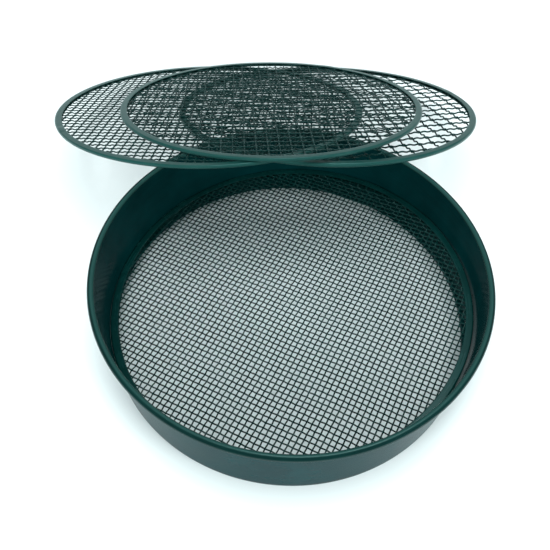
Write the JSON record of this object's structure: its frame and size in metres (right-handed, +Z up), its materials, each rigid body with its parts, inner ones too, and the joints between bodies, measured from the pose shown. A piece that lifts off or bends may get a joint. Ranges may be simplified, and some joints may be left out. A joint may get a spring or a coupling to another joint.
{
  "type": "soil sieve",
  "caption": "Round sheet-steel garden riddle with a rolled rim and exchangeable wire-mesh screens, one lying inside and the others leaning over its edge.",
  "frame": {"origin": "centre of the drum's foot, on the surface it stands on", "axes": "+Z up along the drum's axis; +Y towards the screens that lean over the drum's back edge; +X to the right as seen from the front"},
  "size_m": [0.484, 0.5953, 0.1353],
  "materials": {
    "drum_paint": "satin dark green paint on sheet steel",
    "ring_paint": "satin green paint on a folded steel strip, lighter than the drum",
    "wire_paint": "dark green paint on woven steel wire"
  },
  "bodies": {
    "drum": {"drum_shell": "drum_paint"},
    "inner_screen": {"fine_ring": "ring_paint", "fine_mesh": "wire_paint"},
    "right_screen": {"largest_ring": "ring_paint", "largest_mesh": "wire_paint"},
    "left_screen": {"medium_ring": "ring_paint", "medium_mesh": "wire_paint"},
    "top_screen": {"coarse_ring": "ring_paint", "coarse_mesh": "wire_paint"}
  },
  "joints": [
    {"name": "inner_screen_lift", "type": "slide", "parent": "drum", "child": "inner_screen", "axis": [0, 0, 1], "range_m": [0, 0.05]},
    {"name": "right_screen_lift", "type": "slide", "parent": "drum", "child": "right_screen", "axis": [-0.0092, 0.3478, 0.9375], "range_m": [0, 0.12]},
    {"name": "left_screen_lift", "type": "slide", "parent": "right_screen", "child": "left_screen", "axis": [-0.0092, 0.3478, 0.9375], "range_m": [0, 0.12]},
    {"name": "top_screen_lift", "type": "slide", "parent": "left_screen", "child": "top_screen", "axis": [-0.0092, 0.3478, 0.9375], "range_m": [0, 0.12]}
  ]
}
